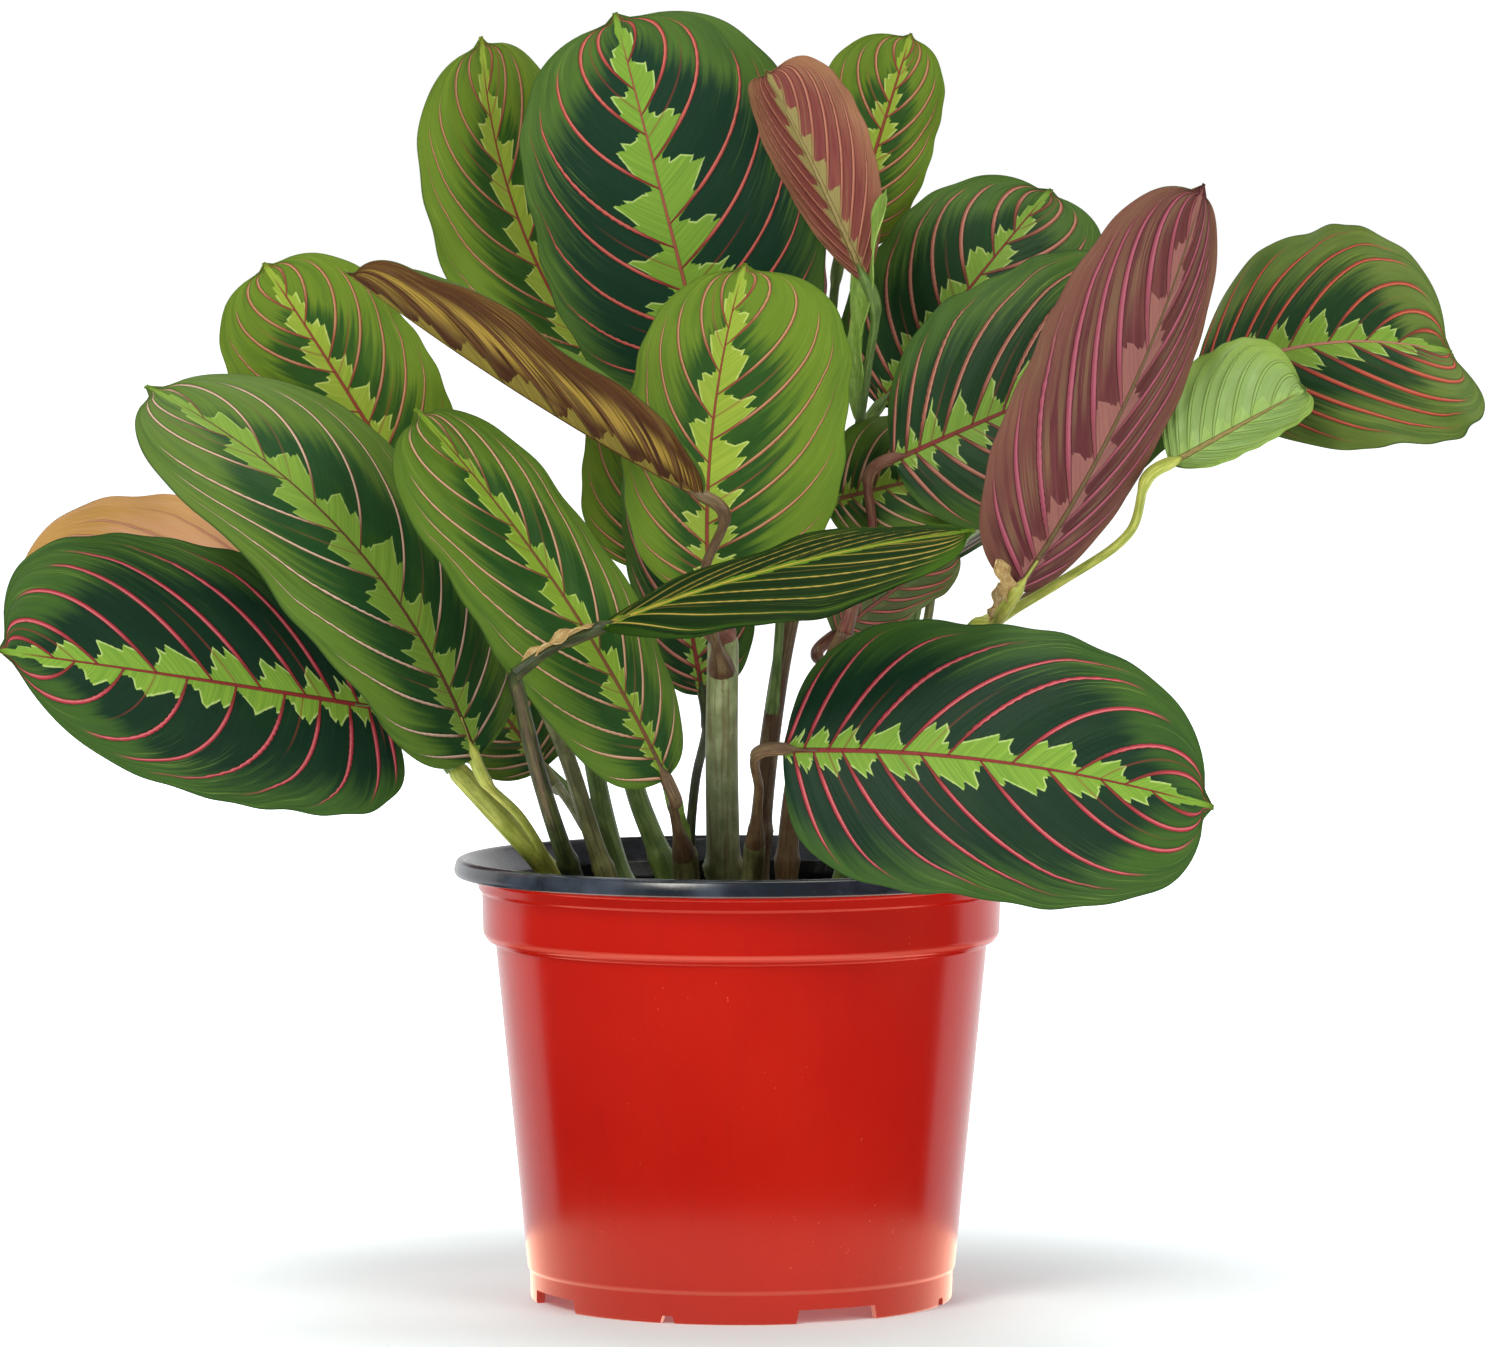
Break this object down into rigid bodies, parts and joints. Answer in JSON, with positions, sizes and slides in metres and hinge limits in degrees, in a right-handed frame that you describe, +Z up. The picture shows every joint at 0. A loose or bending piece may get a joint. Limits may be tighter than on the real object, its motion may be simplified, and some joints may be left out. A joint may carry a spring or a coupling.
{
  "type": "red prayer plant",
  "caption": "Bushy prayer plant with lopsided oval leaves, dark and light feathered bands and red veins, growing in a round nursery pot with a stepped rim.",
  "frame": {"origin": "middle of the pot's foot, on the surface that it stands on", "axes": "+Z up, -Y towards the viewer of the picture, +X to the viewer's right, along the leaves' widest spread"},
  "size_m": [0.4158, 0.2529, 0.3683],
  "materials": {
    "pot": "satin moulded orange-red polypropylene, black and glossy on the rolled lip and inside",
    "soil": "matt dark peat and bark crumbs",
    "stem": "satin green to brown canes with pale joints",
    "leaf_mature": "satin dark green blade with light feathered band and red veins",
    "leaf_fresh": "satin yellow-green blade with light feathered band and pink veins",
    "leaf_young": "satin underside in maroon, mauve and tan, with raised veins"
  },
  "bodies": {
    "root": {"pot": "pot", "potting_soil": "soil", "stem_left": "stem", "stem_left_front": "stem", "stem_left_inner": "stem", "stem_centre_left": "stem", "stem_front_centre": "stem", "stem_centre": "stem", "stem_centre_right": "stem", "stem_front_right": "stem", "stem_right": "stem", "stem_far_right": "stem", "stem_back_left": "stem", "stem_back": "stem", "stem_back_right": "stem", "leaf_left_low": "leaf_mature", "leaf_left_behind": "leaf_young", "leaf_left_mid": "leaf_mature", "leaf_left_under": "leaf_fresh", "leaf_back_left": "leaf_fresh", "leaf_centre_left": "leaf_mature", "leaf_top_left": "leaf_fresh", "leaf_low_centre": "leaf_mature", "leaf_brown": "leaf_young", "leaf_top_centre": "leaf_mature", "leaf_centre": "leaf_fresh", "leaf_young_red": "leaf_young", "leaf_back_top_right": "leaf_fresh", "leaf_right_back": "leaf_mature", "leaf_right_inner": "leaf_mature", "leaf_right_mid": "leaf_mature", "leaf_low_behind": "leaf_mature", "leaf_purple": "leaf_young", "leaf_right_far": "leaf_mature", "leaf_pale_young": "leaf_fresh", "leaf_front_narrow": "leaf_fresh", "leaf_front_right": "leaf_mature", "leaf_rear_left_low": "leaf_mature", "leaf_rear_left": "leaf_mature", "leaf_rear_left_high": "leaf_fresh", "leaf_rear_high": "leaf_mature", "leaf_rear": "leaf_mature", "leaf_rear_young": "leaf_fresh", "leaf_rear_right_low": "leaf_mature", "leaf_rear_right": "leaf_mature", "leaf_rear_right_high": "leaf_fresh"}
  },
  "joints": []
}
